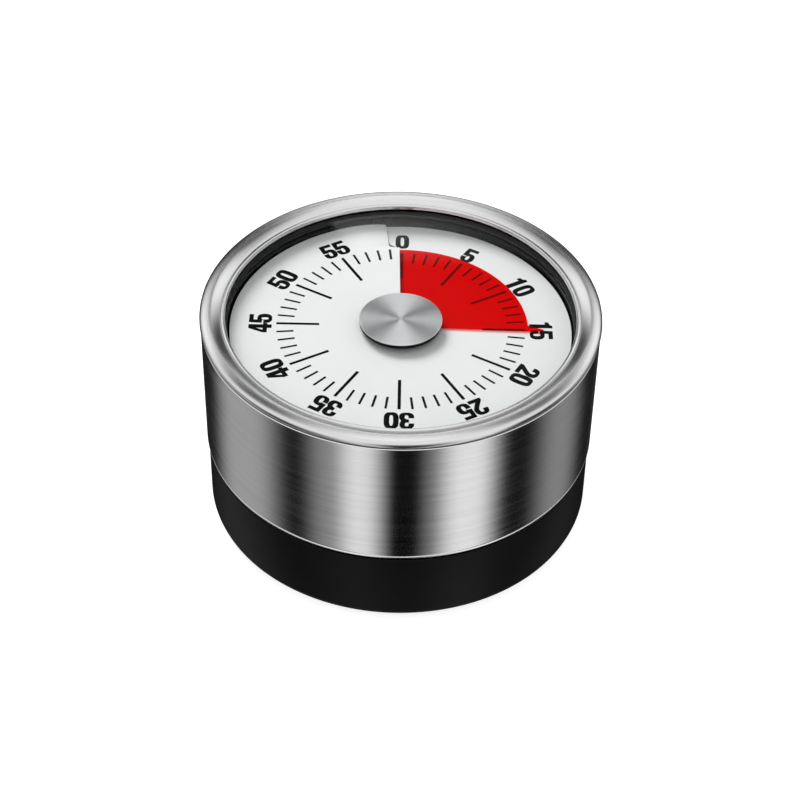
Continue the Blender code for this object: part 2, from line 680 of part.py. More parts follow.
def build_train():
    """Main wheel, second and third wheels on their pinions, and the escape wheel."""
    main_windows = spoked(7.2, 13.6, 4, 2.2, heading=150)
    outline = wheel_outline(MAIN_TEETH, MAIN_MODULE, SECOND_HEADING)
    loops = [outline, circle(ARBOR_R + GAP, 20)] + main_windows
    plate("main_wheel", loops, MAIN_Z, MAIN_Z + WHEEL_THICK, BRASS)
    floor = FRAME_LOW + PLATE_THICK + GAP
    roof = FRAME_HIGH - GAP
    to_third = between(SECOND_AT, THIRD_AT)[1]
    to_escape = between(THIRD_AT, ESCAPE_AT)[1]
    stages = [
        ("second", SECOND_AT, DRIVEN_TEETH, MAIN_MODULE, SECOND_HEADING, MAIN_Z, SECOND_WHEEL_Z, to_third),
        ("third", THIRD_AT, LEAF_TEETH, TRAIN_MODULE, to_third, SECOND_WHEEL_Z, THIRD_WHEEL_Z, to_escape),
    ]
    for name, at, leaves, module, driven_from, leaf_z, wheel_z, drives in stages:
        shaft = arbor(f"{name}_arbor", at, TRAIN_ARBOR_R, floor, roof)
        heading = driven_from + 180 + 180 / leaves
        outline = pinion_outline(leaves, module, heading)
        joined(shaft, plate(f"{name}_leaves", [outline], leaf_z - 0.3, leaf_z + WHEEL_THICK + 0.3, ZINC, at))
        outline = wheel_outline(TRAIN_TEETH, TRAIN_MODULE, drives)
        loops = [outline, circle(SCREW_HOLE_R)] + spoked(2.6, 7.2, 3, 1.4, drives)
        plate(f"{name}_wheel", loops, wheel_z, wheel_z + LEVER_THICK, BRASS, at)
    shaft = arbor("escape_arbor", ESCAPE_AT, TRAIN_ARBOR_R, floor, roof)
    heading = to_escape + 180 + 180 / LEAF_TEETH
    outline = pinion_outline(LEAF_TEETH, TRAIN_MODULE, heading)
    leaf_low, leaf_high = THIRD_WHEEL_Z - 0.3, THIRD_WHEEL_Z + WHEEL_THICK + 0.2
    joined(shaft, plate("escape_leaves", [outline], leaf_low, leaf_high, ZINC, ESCAPE_AT))
    teeth = []
    pitch = 360 / ESCAPE_TEETH
    for i in range(ESCAPE_TEETH):
        teeth += [polar(ESCAPE_R - 1.5, i * pitch), polar(ESCAPE_R, i * pitch + 0.55 * pitch),
                  polar(ESCAPE_R, i * pitch + 0.68 * pitch), polar(ESCAPE_R - 1.5, i * pitch + 0.75 * pitch)]
    plate("escape_wheel", [teeth, circle(SCREW_HOLE_R)], ESCAPE_Z, ESCAPE_Z + LEVER_THICK, BRASS, ESCAPE_AT)


def build_escapement():
    """An anchor with two pins beside the escape wheel, and the bar that swings with it."""
    distance, to_escape = between(BALANCE_AT, ESCAPE_AT)
    floor = FRAME_LOW + PLATE_THICK + GAP
    anchor = arbor("pallet_lever", BALANCE_AT, TRAIN_ARBOR_R, floor, FRAME_HIGH - GAP)
    centre = polar(distance, to_escape)
    arm_low = ESCAPE_Z + 1.3
    for side in (-1, 1):
        from_escape = polar(PALLET_PIN_CIRCLE, to_escape + 180 + side * 35)
        pin = (centre[0] + from_escape[0], centre[1] + from_escape[1])
        outline = bar((0, 0), pin, 1.8, 1.2)
        place = (BALANCE_AT[0] + pin[0], BALANCE_AT[1] + pin[1])
        joined(
            anchor,
            plate(f"pallet_arm_{side + 1}", [outline], arm_low, arm_low + LEVER_THICK, ZINC, BALANCE_AT),
            post(f"pallet_pin_{side + 1}", 0.35, ESCAPE_Z - 0.1, arm_low + 0.4, ZINC, place),
        )
    ring = [circle(5.0, 24), circle(SCREW_HOLE_R)] + spoked(1.9, 3.9, 2, 1.4)
    plate("balance", ring, BALANCE_Z, BALANCE_Z + 1.4, BRASS, BALANCE_AT)


def build_strike():
    """A star wheel driven by the main wheel."""
    shaft = arbor("strike_wheel", STRIKE_AT, TRAIN_ARBOR_R, FRAME_LOW + PLATE_THICK + SEAT, FRAME_HIGH - GAP)
    star = []
    for i in range(STAR_POINTS):
        star += [polar(STAR_R - 1.3, 360 / STAR_POINTS * i), polar(STAR_R, 360 / STAR_POINTS * (i + 0.5))]
    heading = STRIKE_HEADING + 180 + 180 / DRIVEN_TEETH
    outline = pinion_outline(DRIVEN_TEETH, MAIN_MODULE, heading)
    joined(
        shaft,
        plate("strike_star", [star], STAR_Z, STAR_Z + LEVER_THICK, ZINC, STRIKE_AT),
        plate("strike_leaves", [outline], MAIN_Z - 0.3, MAIN_Z + WHEEL_THICK + 0.3, ZINC, STRIKE_AT),
    )


def build_hammer():
    """The hammer's rod goes down through the deck to the bell, with a tail that the star would lift."""
    reach, to_star = between(HAMMER_AT, STRIKE_AT)
    tail = polar(reach - STAR_R - 0.8, to_star)
    head = (HEAD_AT[0] - HAMMER_AT[0], HEAD_AT[1] - HAMMER_AT[1])
    finger = (FINGER_AT[0] - HAMMER_AT[0], FINGER_AT[1] - HAMMER_AT[1])
    foot, shoulder = 12.2, 15.4
    floor = FRAME_LOW + PLATE_THICK + SEAT
    roof = FRAME_HIGH - GAP
    rod = turned("hammer_arm", [
        (0, foot), (TRAIN_ARBOR_R - 0.05, foot), (TRAIN_ARBOR_R - 0.05, shoulder), (ARBOR_PIVOT_R, shoulder),
        (ARBOR_PIVOT_R, floor), (TRAIN_ARBOR_R - 0.05, floor), (TRAIN_ARBOR_R - 0.05, roof),
        (ARBOR_PIVOT_R, roof), (ARBOR_PIVOT_R, TOP_HIGH - 0.1), (0, TOP_HIGH - 0.1),
    ], ZINC, SMALL_SIDES, HAMMER_AT)
    wide = 2.2
    joined(
        rod,
        plate("hammer_tail", [bar((0, 0), tail, wide, 0.9)], STAR_Z, STAR_Z + LEVER_THICK, ZINC, HAMMER_AT),
        plate("hammer_spring", [bar((0, 0), head, wide, 1.3)], foot + 0.1, foot + 0.7, ZINC, HAMMER_AT),
        plate("hammer_finger", [bar((0, 0), finger, wide, 1.2)], CAM_Z, CAM_Z + LEVER_THICK, ZINC, HAMMER_AT),
    )
    head_low, head_r = 9.2, 1.6
    turned("hammer_head", [
        (0, head_low), (head_r - 0.3, head_low), (head_r, head_low + 0.3), (head_r, foot - 0.05),
        (0, foot - 0.05),
    ], BRASS, 16, HEAD_AT)


def build_release():
    """A lever hung from the top plate, with one arm on the cam and one that holds the hammer back."""
    nose = polar(CAM_R + 0.35 + 0.6, LEVER_HEADING)
    arm = (nose[0] - RELEASE_AT[0], nose[1] - RELEASE_AT[1])
    stop = (RELEASE_STOP_AT[0] - RELEASE_AT[0], RELEASE_STOP_AT[1] - RELEASE_AT[1])
    foot, roof = CAM_Z - 0.6, FRAME_HIGH - GAP
    lever = turned("release_lever", [
        (0, foot), (TRAIN_ARBOR_R, foot), (TRAIN_ARBOR_R, roof), (ARBOR_PIVOT_R, roof),
        (ARBOR_PIVOT_R, TOP_HIGH - 0.1), (0, TOP_HIGH - 0.1),
    ], ZINC, SMALL_SIDES, RELEASE_AT)
    joined(
        lever,
        plate("release_nose", [bar((0, 0), arm, 2.4, 1.2)], CAM_Z, CAM_Z + LEVER_THICK, ZINC, RELEASE_AT),
        plate("release_stop", [bar((0, 0), stop, 3.0, 1.2)], CAM_Z + 0.1, CAM_Z + 0.7, ZINC, RELEASE_AT),
    )


def build_click():
    """The click sits on the main wheel and lets the ratchet slip one way, for winding."""
    high = RATCHET_LOW + LEVER_THICK
    tip = polar(RATCHET_R + 0.45, 110)
    arm = (tip[0] - CLICK_AT[0], tip[1] - CLICK_AT[1])
    plate("click", [bar((0, 0), arm, 2.4, 0.8)], RATCHET_LOW, high, ZINC, CLICK_AT)
    plate("click_spring", [bar(polar(12.2, 118), polar(9.2, 128), 1.6, 0.5)], RATCHET_LOW, high, ZINC)


clear_scene()
build_drum()
build_hub()
build_arbor_pieces()
build_disc()
build_dial()
build_carrier()
build_base()
build_magnet()
build_bell()
build_frame()
build_spring()
build_train()
build_escapement()
build_strike()
build_hammer()
build_release()
build_click()
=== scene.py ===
"""Looks for the wind-up kitchen timer: finer shells, printed dial, red disc, finishes, light and camera.

Lengths are in metres. Dial angles are in degrees clockwise from 0, which is at +Y. Everything is placed
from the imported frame's own boxes, and each finished mesh lies in place with its object at the origin.
"""

import json
import math

import bmesh
import bpy
import numpy as np
from mathutils import Matrix, Vector


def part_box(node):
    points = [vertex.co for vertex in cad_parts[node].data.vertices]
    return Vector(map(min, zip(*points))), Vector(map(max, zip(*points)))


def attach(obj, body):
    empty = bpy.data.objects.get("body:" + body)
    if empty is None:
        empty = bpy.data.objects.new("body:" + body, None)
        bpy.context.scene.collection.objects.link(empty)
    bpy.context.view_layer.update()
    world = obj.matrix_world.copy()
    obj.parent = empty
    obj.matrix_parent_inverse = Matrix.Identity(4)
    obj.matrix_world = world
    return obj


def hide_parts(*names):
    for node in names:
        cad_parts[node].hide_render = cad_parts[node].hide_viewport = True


MM = 0.001
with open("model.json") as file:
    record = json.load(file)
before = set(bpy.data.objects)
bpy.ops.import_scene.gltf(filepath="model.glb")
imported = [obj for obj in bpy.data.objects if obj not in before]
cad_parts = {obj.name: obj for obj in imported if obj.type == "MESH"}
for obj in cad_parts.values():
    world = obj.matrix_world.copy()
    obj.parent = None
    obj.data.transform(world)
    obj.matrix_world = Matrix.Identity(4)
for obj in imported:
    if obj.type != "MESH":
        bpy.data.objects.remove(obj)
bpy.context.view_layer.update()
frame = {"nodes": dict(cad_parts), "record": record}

# ---- Places read from the frame ----

BEZEL_LOW, BEZEL_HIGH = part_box("bezel")
SHELL_LOW, SHELL_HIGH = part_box("drum_shell")
LINER_LOW, LINER_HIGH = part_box("drum_liner")
LENS_LOW, LENS_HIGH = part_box("lens")
CAP_LOW, CAP_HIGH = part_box("hub_cap")
DIAL_LOW, DIAL_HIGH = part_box("dial_plate")
CUP_LOW, CUP_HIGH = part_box("base_cup")
CARRIER_LOW, CARRIER_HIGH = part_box("dial_carrier")
FOOT_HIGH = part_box("rubber_foot")[1]

BEZEL_R = BEZEL_HIGH.x
TOP_Z = BEZEL_HIGH.z
SHELL_R = SHELL_HIGH.x
CUP_R = CUP_HIGH.x
DIAL_R = DIAL_HIGH.x
CAP_R = CAP_HIGH.x

# The dial and the disc are one turn of the same screw surface, half a pitch apart.
PITCH = 1.0 * MM
DIAL_THICK = 0.3 * MM
DISC_THICK = 0.2 * MM
DIAL_MID_Z = (DIAL_LOW.z + DIAL_HIGH.z) / 2
SCREW_MID_Z = DIAL_MID_Z  # the disc's own middle at 0
SET_ANGLE = 90.0


# ---- Mesh helpers ----


def polar(radius, dial_angle):
    """x and y at a radius and an angle clockwise from +Y."""
    a = np.radians(dial_angle)
    return radius * np.sin(a), radius * np.cos(a)


def mesh_object(name, points, faces, sharp=35):
    """An object from an array of points and a list of face index arrays, with doubled points merged."""
    mesh = bpy.data.meshes.new(name)
    mesh.from_pydata(np.asarray(points, float).reshape(-1, 3).tolist(), [], faces)
    shape = bmesh.new()
    shape.from_mesh(mesh)
    bmesh.ops.remove_doubles(shape, verts=shape.verts, dist=1e-7)
    bmesh.ops.recalc_face_normals(shape, faces=shape.faces)
    shape.to_mesh(mesh)
    shape.free()
    mesh.shade_smooth()
    mesh.set_sharp_from_angle(angle=math.radians(sharp))
    made = bpy.data.objects.new(name, mesh)
    bpy.context.scene.collection.objects.link(made)
    return made


def grid_faces(rows, columns, wrap_rows=False, wrap_columns=False):
    """Quads of a rows by columns grid of points, closed round where asked."""
    i = np.arange(rows if wrap_rows else rows - 1)
    j = np.arange(columns if wrap_columns else columns - 1)
    i, j = [a.ravel() for a in np.meshgrid(i, j, indexing="ij")]
    up, right = (i + 1) % rows, (j + 1) % columns
    quads = np.stack([i * columns + j, i * columns + right, up * columns + right, up * columns + j], 1)
    return quads.tolist()


def rounded(corners, steps=5):
    """A closed profile of (radius, height) with each corner cut back by its own fillet.

    At each corner the two tangent points lie fillet / tan(half the corner's angle) along its sides, and
    the round runs between them on a circle of that fillet.
    """
    out = []
    count = len(corners)
    for i, (r, z, fillet) in enumerate(corners):
        here = np.array([r, z])
        if fillet <= 0:
            out.append(here[None])
            continue
        back = np.array(corners[i - 1][:2]) - here
        on = np.array(corners[(i + 1) % count][:2]) - here
        back, on = back / np.linalg.norm(back), on / np.linalg.norm(on)
        half = math.acos(np.clip(back @ on, -1, 1)) / 2
        reach = fillet / math.tan(half)
        middle = here + (back + on) / np.linalg.norm(back + on) * fillet / math.sin(half)
        start, end = here + back * reach - middle, here + on * reach - middle
        t = np.linspace(0, 1, steps + 1)[:, None]
        sweep = math.pi - 2 * half
        out.append(middle + (np.sin((1 - t) * sweep) * start + np.sin(t * sweep) * end) / math.sin(sweep))
    return np.concatenate(out)


def turned(name, profile, steps=256, sharp=35, closed=True):
    """A profile of (radius, height) carried once round Z: (r sin a, r cos a, z).

    A ring's profile is closed. A solid disc's is open, and starts and ends on the axis.
    """
    a = np.linspace(0, 2 * math.pi, steps, endpoint=False)[:, None]
    r, z = profile[None, :, 0], profile[None, :, 1]
    points = np.stack([r * np.sin(a), r * np.cos(a), z + 0 * a], -1)
    return mesh_object(name, points, grid_faces(steps, len(profile), True, closed), sharp)


def swept(name, loops, sharp=35):
    """Closed section loops, one per row, skinned into a tube and capped at both ends."""
    rows, columns = loops.shape[:2]
    faces = grid_faces(rows, columns, False, True)
    faces += [list(range(columns)), list(range((rows - 1) * columns, rows * columns))[::-1]]
    return mesh_object(name, loops, faces, sharp)


# ---- Node helpers ----


class Nodes:
    """A small wrapper for a material's or world's node tree."""

    def __init__(self, tree):
        self.tree = tree

    def add(self, kind, **settings):
        node = self.tree.nodes.new("ShaderNode" + kind)
        for key, value in settings.items():
            setattr(node, key, value)
        return node

    def join(self, source, target):
        self.tree.links.new(source, target)

    def put(self, socket, value):
        """Sets a socket to a number or colour, or links it."""
        if isinstance(value, bpy.types.NodeSocket):
            self.join(value, socket)
        else:
            socket.default_value = value

    def maths(self, operation, *values):
        node = self.add("Math", operation=operation)
        for socket, value in zip(node.inputs, values):
            self.put(socket, value)
        return node.outputs[0]

    def vector(self, operation, *values):
        node = self.add("VectorMath", operation=operation)
        for socket, value in zip(node.inputs, values):
            self.put(socket, value)
        return node.outputs["Value" if operation in ("LENGTH", "DOT_PRODUCT") else "Vector"]

    def xyz(self, x, y, z):
        node = self.add("CombineXYZ")
        for socket, value in zip(node.inputs, (x, y, z)):
            self.put(socket, value)
        return node.outputs[0]

    def noise(self, vector, scale=1.0, detail=3.0, roughness=0.5):
        node = self.add("TexNoise")
        self.put(node.inputs["Vector"], vector)
        node.inputs["Scale"].default_value = scale
        node.inputs["Detail"].default_value = detail
        node.inputs["Roughness"].default_value = roughness
        return node.outputs[0]

    def ranged(self, value, low, high, to_low, to_high, smooth=False):
        node = self.add("MapRange", interpolation_type="SMOOTHSTEP" if smooth else "LINEAR")
        for socket, item in zip(node.inputs, (value, low, high, to_low, to_high)):
            self.put(socket, item)
        return node.outputs[0]

    def tint(self, factor, a, b):
        node = self.add("Mix", data_type="RGBA")
        self.put(node.inputs[0], factor)
        node.inputs[6].default_value = (*a, 1)
        node.inputs[7].default_value = (*b, 1)
        return node.outputs[2]

    def bump(self, height, strength, distance):
        node = self.add("Bump")
        node.inputs["Strength"].default_value = strength
        node.inputs["Distance"].default_value = distance
        self.put(node.inputs["Height"], height)
        return node.outputs[0]


def new_material(name):
    """A material holding one Principled shader. Returns it, its nodes and the shader."""
    made = bpy.data.materials.new(name)
    made.use_nodes = True
    nodes = Nodes(made.node_tree)
    return made, nodes, made.node_tree.nodes["Principled BSDF"]


def place(nodes):
    """The point on the piece in the timer's own frame."""
    return nodes.add("TexCoord").outputs["Object"]


def parts_of(nodes, vector):
    node = nodes.add("SeparateXYZ")
    nodes.join(vector, node.inputs[0])
    return node.outputs


# ---- Finishes ----

# Brush lines: noise cells a metre along the brush, noise cells a metre across it, detail and roughness.
FINE_LINES = (45.0, 9000.0, 4, 0.65)
BROAD_LINES = (12.0, 1600.0, 3, 0.5)
FINE_SHARE = 0.6


def brush_noise(nodes, x, y, across, lines):
    """Noise read at x and y times the cells along, and the way across times the cells across."""
    along_cells, across_cells, detail, roughness = lines
    spot = nodes.xyz(nodes.maths("MULTIPLY", x, along_cells), nodes.maths("MULTIPLY", y, along_cells),
                     nodes.maths("MULTIPLY", across, across_cells))
    return nodes.noise(spot, detail=detail, roughness=roughness)


def turned_steel(name, colour=(0.68, 0.68, 0.685), roughness=0.27, upright=False, grain=0.04, relief=0.2):
    """Stainless steel brushed round the axis.

    The grain is noise that changes fast across the brush lines and slowly along them, so it is read at
    (x, y) and either height, on an upright wall, or radius, on a flat face. Gloss spreads across the lines.
    """
    made, nodes, shader = new_material(name)
    point = place(nodes)
    x, y, z = parts_of(nodes, point)
    radius = nodes.vector("LENGTH", nodes.xyz(x, y, 0.0))
    across = z if upright else radius
    fine = brush_noise(nodes, x, y, across, FINE_LINES)
    broad = brush_noise(nodes, x, y, across, BROAD_LINES)
    grainy = nodes.maths("ADD", nodes.maths("MULTIPLY", fine, FINE_SHARE),
                         nodes.maths("MULTIPLY", broad, 1 - FINE_SHARE))
    swing = grain * 2.5
    dark = tuple(c * (1 - swing) for c in colour)
    light = tuple(min(1.0, c * (1 + swing)) for c in colour)
    nodes.put(shader.inputs["Base Color"], nodes.tint(nodes.ranged(grainy, 0.3, 0.7, 0.0, 1.0), dark, light))
    nodes.put(shader.inputs["Roughness"], nodes.ranged(grainy, 0.3, 0.7, roughness - 0.03, roughness + 0.04))
    nodes.put(shader.inputs["Normal"], nodes.bump(grainy, relief, 0.02 * MM))
    shader.inputs["Metallic"].default_value = 1.0
    shader.inputs["Anisotropic"].default_value = 0.9
    round_axis = nodes.xyz(nodes.maths("MULTIPLY", y, -1.0), x, 0.0)
    normal = nodes.add("NewGeometry").outputs["Normal"]
    across_lines = nodes.vector("CROSS_PRODUCT", round_axis, normal)
    nodes.put(shader.inputs["Tangent"], nodes.vector("NORMALIZE", across_lines))
    return made


def moulded(name, colour, roughness, speckle=0.25, scale=2600.0, relief=0.12, specular=0.5):
    """Moulded plastic with a fine spark-eroded texture, in noise read from the piece's own place."""
    made, nodes, shader = new_material(name)
    point = place(nodes)
    fine = nodes.noise(point, scale, 3, 0.6)
    broad = nodes.noise(point, scale / 30, 2)
    low = tuple(c * (1 - speckle) for c in colour)
    high = tuple(min(1.0, c * (1 + speckle)) for c in colour)
    nodes.put(shader.inputs["Base Color"], nodes.tint(nodes.ranged(broad, 0.3, 0.7, 0.0, 1.0), low, high))
    nodes.put(shader.inputs["Roughness"], nodes.ranged(fine, 0.3, 0.7, roughness - 0.05, roughness + 0.05))
    nodes.put(shader.inputs["Normal"], nodes.bump(fine, relief, 0.03 * MM))
    shader.inputs["Specular IOR Level"].default_value = specular
    return made


def metal(name, colour, roughness, grain=1500.0):
    """Rolled or plated metal: a slow stain in its colour and a fine scratch in its gloss."""
    made, nodes, shader = new_material(name)
    point = place(nodes)
    stain = nodes.noise(point, 90.0, 3)
    x, y, z = parts_of(nodes, point)
    scratch = nodes.noise(nodes.xyz(nodes.maths("MULTIPLY", x, grain), nodes.maths("MULTIPLY", y, 60.0),
                                    nodes.maths("MULTIPLY", z, 60.0)), detail=3)
    low = tuple(c * 0.85 for c in colour)
    nodes.put(shader.inputs["Base Color"], nodes.tint(stain, low, colour))
    nodes.put(shader.inputs["Roughness"], nodes.ranged(scratch, 0.3, 0.7, roughness - 0.05, roughness + 0.08))
    nodes.put(shader.inputs["Normal"], nodes.bump(scratch, 0.15, 0.01 * MM))
    shader.inputs["Metallic"].default_value = 1.0
    return made


# The pane's share of gloss seen straight on, and how much more it has seen edge on.
GLOSS_STRAIGHT, GLOSS_EDGE_ON = 0.015, 0.6


def clear_window(name):
    """A flat clear pane with a coating: see-through, with a gloss that grows towards edge-on views.

    The share of gloss is the straight share plus the edge-on share times f^5, where f is 1 less the cosine
    of the angle between the view and the pane's normal.
    """
    made, nodes, shader = new_material(name)
    tree = made.node_tree
    shader.inputs["Base Color"].default_value = (1, 1, 1, 1)
    shader.inputs["Roughness"].default_value = 0.02
    shader.inputs["Metallic"].default_value = 1.0
    seen = nodes.add("BsdfTransparent")
    seen.inputs["Color"].default_value = (0.985, 0.99, 0.99, 1)
    blend = nodes.add("MixShader")
    facing = nodes.add("LayerWeight")
    facing.inputs["Blend"].default_value = 0.5
    edge_on = nodes.maths("POWER", facing.outputs["Facing"], 5.0)
    share = nodes.maths("MULTIPLY_ADD", edge_on, GLOSS_EDGE_ON, GLOSS_STRAIGHT)
    nodes.join(share, blend.inputs[0])
    nodes.join(seen.outputs[0], blend.inputs[1])
    nodes.join(shader.outputs[0], blend.inputs[2])
    nodes.join(blend.outputs[0], tree.nodes["Material Output"].inputs["Surface"])
    return made


def red_film(name):
    """A thin red foil: it tints what is seen through it, and shines a little."""
    made, nodes, shader = new_material(name)
    tree = made.node_tree
    cloud = nodes.noise(place(nodes), 60.0, 2)
    nodes.put(shader.inputs["Base Color"], nodes.tint(cloud, (0.78, 0.001, 0.001), (0.86, 0.002, 0.002)))
    shader.inputs["Roughness"].default_value = 0.45
    shader.inputs["Specular IOR Level"].default_value = 0.02
    seen = nodes.add("BsdfTransparent")
    nodes.put(seen.inputs["Color"], nodes.tint(cloud, (0.95, 0.003, 0.003), (0.99, 0.006, 0.005)))
    blend = nodes.add("MixShader")
    blend.inputs[0].default_value = 0.12
    nodes.join(seen.outputs[0], blend.inputs[1])
    nodes.join(shader.outputs[0], blend.inputs[2])
    nodes.join(blend.outputs[0], tree.nodes["Material Output"].inputs["Surface"])
    return made


def give(piece, finish):
    piece.data.materials.clear()
    piece.data.materials.append(finish)
    return piece


def settle(piece, body, finish, slot, *nodes):
    """Finish, body, material slot (not used) and the CAD nodes that the piece stands for."""
    give(piece, finish)
    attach(piece, body)
    if nodes:
        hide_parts(*nodes)
    return piece


# ---- Drum ----


def build_bezel(finish):
    """A turned ring. From its outer side it rolls over a broad crown, (cos t)^0.8 across and (sin t)^0.8 up,
    falls to a shallow groove, and ends in a small round bead beside the window.
    """
    low = BEZEL_LOW.z
    lip_r, bead_r = 33.2 * MM, 0.42 * MM
    crown_r, crown_wide, crown_high = BEZEL_R - 2.0 * MM, 2.0 * MM, 1.0 * MM
    t = np.linspace(0, math.pi / 2, 14)
    across, up = np.cos(t) ** 0.8, np.sin(t) ** 0.8
    crown = np.stack([crown_r + crown_wide * across, TOP_Z - crown_high * (1 - up)], 1)
    groove_r, groove_z = lip_r + 2 * bead_r + 0.15 * MM, TOP_Z - 0.78 * MM
    share = np.linspace(0, 1, 9)[1:]
    fall = np.stack([crown_r + (groove_r - crown_r) * share, TOP_Z + (groove_z - TOP_Z) * share ** 1.5], 1)
    turn = np.linspace(math.radians(15), math.pi, 10)
    bead_z = TOP_Z - 1.05 * MM
    bead = np.stack([lip_r + bead_r + bead_r * np.cos(turn), bead_z + bead_r * np.sin(turn)], 1)
    under = np.array([(lip_r, low), (SHELL_R - 0.1 * MM, low), (BEZEL_R - 0.1 * MM, low + 0.12 * MM)])
    profile = np.concatenate([under, crown, fall, bead])
    settle(turned("bezel_ring", profile, 320, 60), "drum", finish, "steel", "bezel")


def build_shell(finish):
    """A straight wall with a small rolled hem round its foot, below a shallow groove."""
    wall = 0.8 * MM
    hem_r = 0.24 * MM
    t = np.linspace(-math.pi / 2, math.pi / 2 * 0.75, 10)
    hem_z = SHELL_LOW.z + hem_r
    hem = np.stack([SHELL_R - hem_r + hem_r * np.cos(t), hem_z + hem_r * np.sin(t)], 1)
    rise = np.array([(SHELL_R - 0.07 * MM, hem_z + 0.3 * MM), (SHELL_R, hem_z + 0.42 * MM)])
    # The rows just inside the wall's two ends keep its shading flat between them.
    hold = np.array([(SHELL_R, hem_z + 0.6 * MM), (SHELL_R, SHELL_HIGH.z - 0.3 * MM)])
    edge = 0.1 * MM
    rim = np.array([(SHELL_R, SHELL_HIGH.z - edge), (SHELL_R - edge, SHELL_HIGH.z)])
    inside = np.array([(SHELL_R - wall, SHELL_HIGH.z), (SHELL_R - wall, SHELL_LOW.z)])
    profile = np.concatenate([hem, rise, hold, rim, inside])
    settle(turned("drum_skin", profile, 320), "drum", finish, "steel", "drum_shell")


def build_liner(finish):
    """The black drum inside: the well's wall and ledge under the window, and the snap rim at the bottom."""
    outer = LINER_HIGH.x
    ledge = LENS_LOW.z - 0.6 * MM
    well_r = 32.9 * MM
    pocket_r = LENS_HIGH.x + 0.3 * MM
    neck_r, sleeve_r = 33.9 * MM, 35.0 * MM
    well_foot = ledge - 3.1 * MM
    rim_top = LINER_LOW.z + 1.1 * MM
    corners = [
        (neck_r, LINER_LOW.z, 0.2 * MM), (outer, LINER_LOW.z, 0.1 * MM), (outer, LINER_HIGH.z, 0.1 * MM),
        (pocket_r, LINER_HIGH.z, 0.1 * MM), (pocket_r, ledge, 0), (well_r, ledge, 0.25 * MM),
        (well_r, well_foot, 0.2 * MM), (sleeve_r, well_foot, 0), (sleeve_r, rim_top, 0),
        (neck_r, rim_top, 0.2 * MM),
    ]
    settle(turned("well_wall", rounded(corners, 4), 256), "drum", finish, "black_inner", "drum_liner")


def build_window(finish):
    r, low, high = LENS_HIGH.x, LENS_LOW.z, LENS_HIGH.z
    edge = 0.2 * MM
    profile = np.array([
        (0, low), (r * 0.5, low), (r - edge, low), (r, low + edge), (r, high - edge), (r - edge, high),
        (r * 0.5, high), (0, high),
    ])
    settle(turned("window_pane", profile, 192, closed=False), "drum", finish, "window", "lens")


CAP_LIFT = 0.12 * MM  # the cap's metal is this much thinner than its box, and the collar reaches up to it


def build_cap(finish):
    """The hub's cap: a spun disc with a turned edge."""
    low, high = CAP_LOW.z + CAP_LIFT, CAP_HIGH.z
    t = np.linspace(0, math.pi / 2, 6)
    edge = 0.1 * MM
    crown = np.stack([CAP_R - edge + edge * np.cos(t), high - edge + edge * np.sin(t)], 1)
    rings = np.linspace(CAP_R * 0.95, 0, 24)
    face = np.stack([rings, high + 0.02 * MM * (1 - (rings / CAP_R) ** 2)], 1)
    under = np.array([(0, low), (CAP_R - 0.05 * MM, low), (CAP_R, low + 0.05 * MM)])
    face = np.concatenate([face[:-1], [(0.25 * MM, high + 0.02 * MM), (0, high - 0.06 * MM)]])
    profile = np.concatenate([under, crown, face])
    settle(turned("hub_disc", profile, 192, closed=False), "drum", finish, "steel", "hub_cap")


def build_skirt(finish):
    """A black collar under the cap's rim, clear of the disc at the top of its lift."""
    low = SCREW_MID_Z + PITCH + DISC_THICK / 2 + 0.15 * MM
    high = CAP_LOW.z + CAP_LIFT
    outer, inner = CAP_R - 0.04 * MM, CAP_R - 1.4 * MM
    fillet = 0.05 * MM
    corners = [(outer, low, fillet), (outer, high, 0), (inner, high, 0), (inner, low, fillet)]
    settle(turned("hub_skirt", rounded(corners, 2), 128), "drum", finish, "black_shell")


# ---- Dial ----

# The slit's angles are degrees left of 0, beside the 0 line and, past the disc's edge, beside the numeral.
SLIT_LEFT, SLIT_STEP = 1.3, 6.0
SLIT_R, SLIT_BLEND = 24.4 * MM, 1.0 * MM  # where the step starts, and its width
# The flap is the dial's end, in degrees of dial, how far it bends down, and where across the dial it starts.
FLAP_SPAN, FLAP_DROP = 12.0, 0.45 * MM
FLAP_R, FLAP_WIDE = 24.15 * MM, 0.85 * MM


def slit_angle(radius):
    """Where the dial begins: a radial cut beside the 0 line that steps left past the disc's edge.

    The step is t^2 (3 - 2 t), t growing from 0 to 1 across its width.
    """
    t = np.clip((radius - SLIT_R) / SLIT_BLEND, 0, 1)
    return -SLIT_LEFT - (SLIT_STEP - SLIT_LEFT) * t * t * (3 - 2 * t)


def dial_height(radius, dial_angle):
    """Middle of the dial's plate: a screw surface whose last few degrees, outside the disc's edge, bend down.

    The bend is the drop times u^2, u growing from 0 to 1 over the flap's span, times s^2 (3 - 2 s), s growing
    from 0 to 1 across the flap's width.
    """
    u = np.clip((dial_angle - 360 + SLIT_STEP + FLAP_SPAN) / FLAP_SPAN, 0, 1)
    s = np.clip((radius - FLAP_R) / FLAP_WIDE, 0, 1)
    bend = FLAP_DROP * u * u * s * s * (3 - 2 * s)
    return DIAL_MID_Z - PITCH / 2 + PITCH * dial_angle / 360 - bend


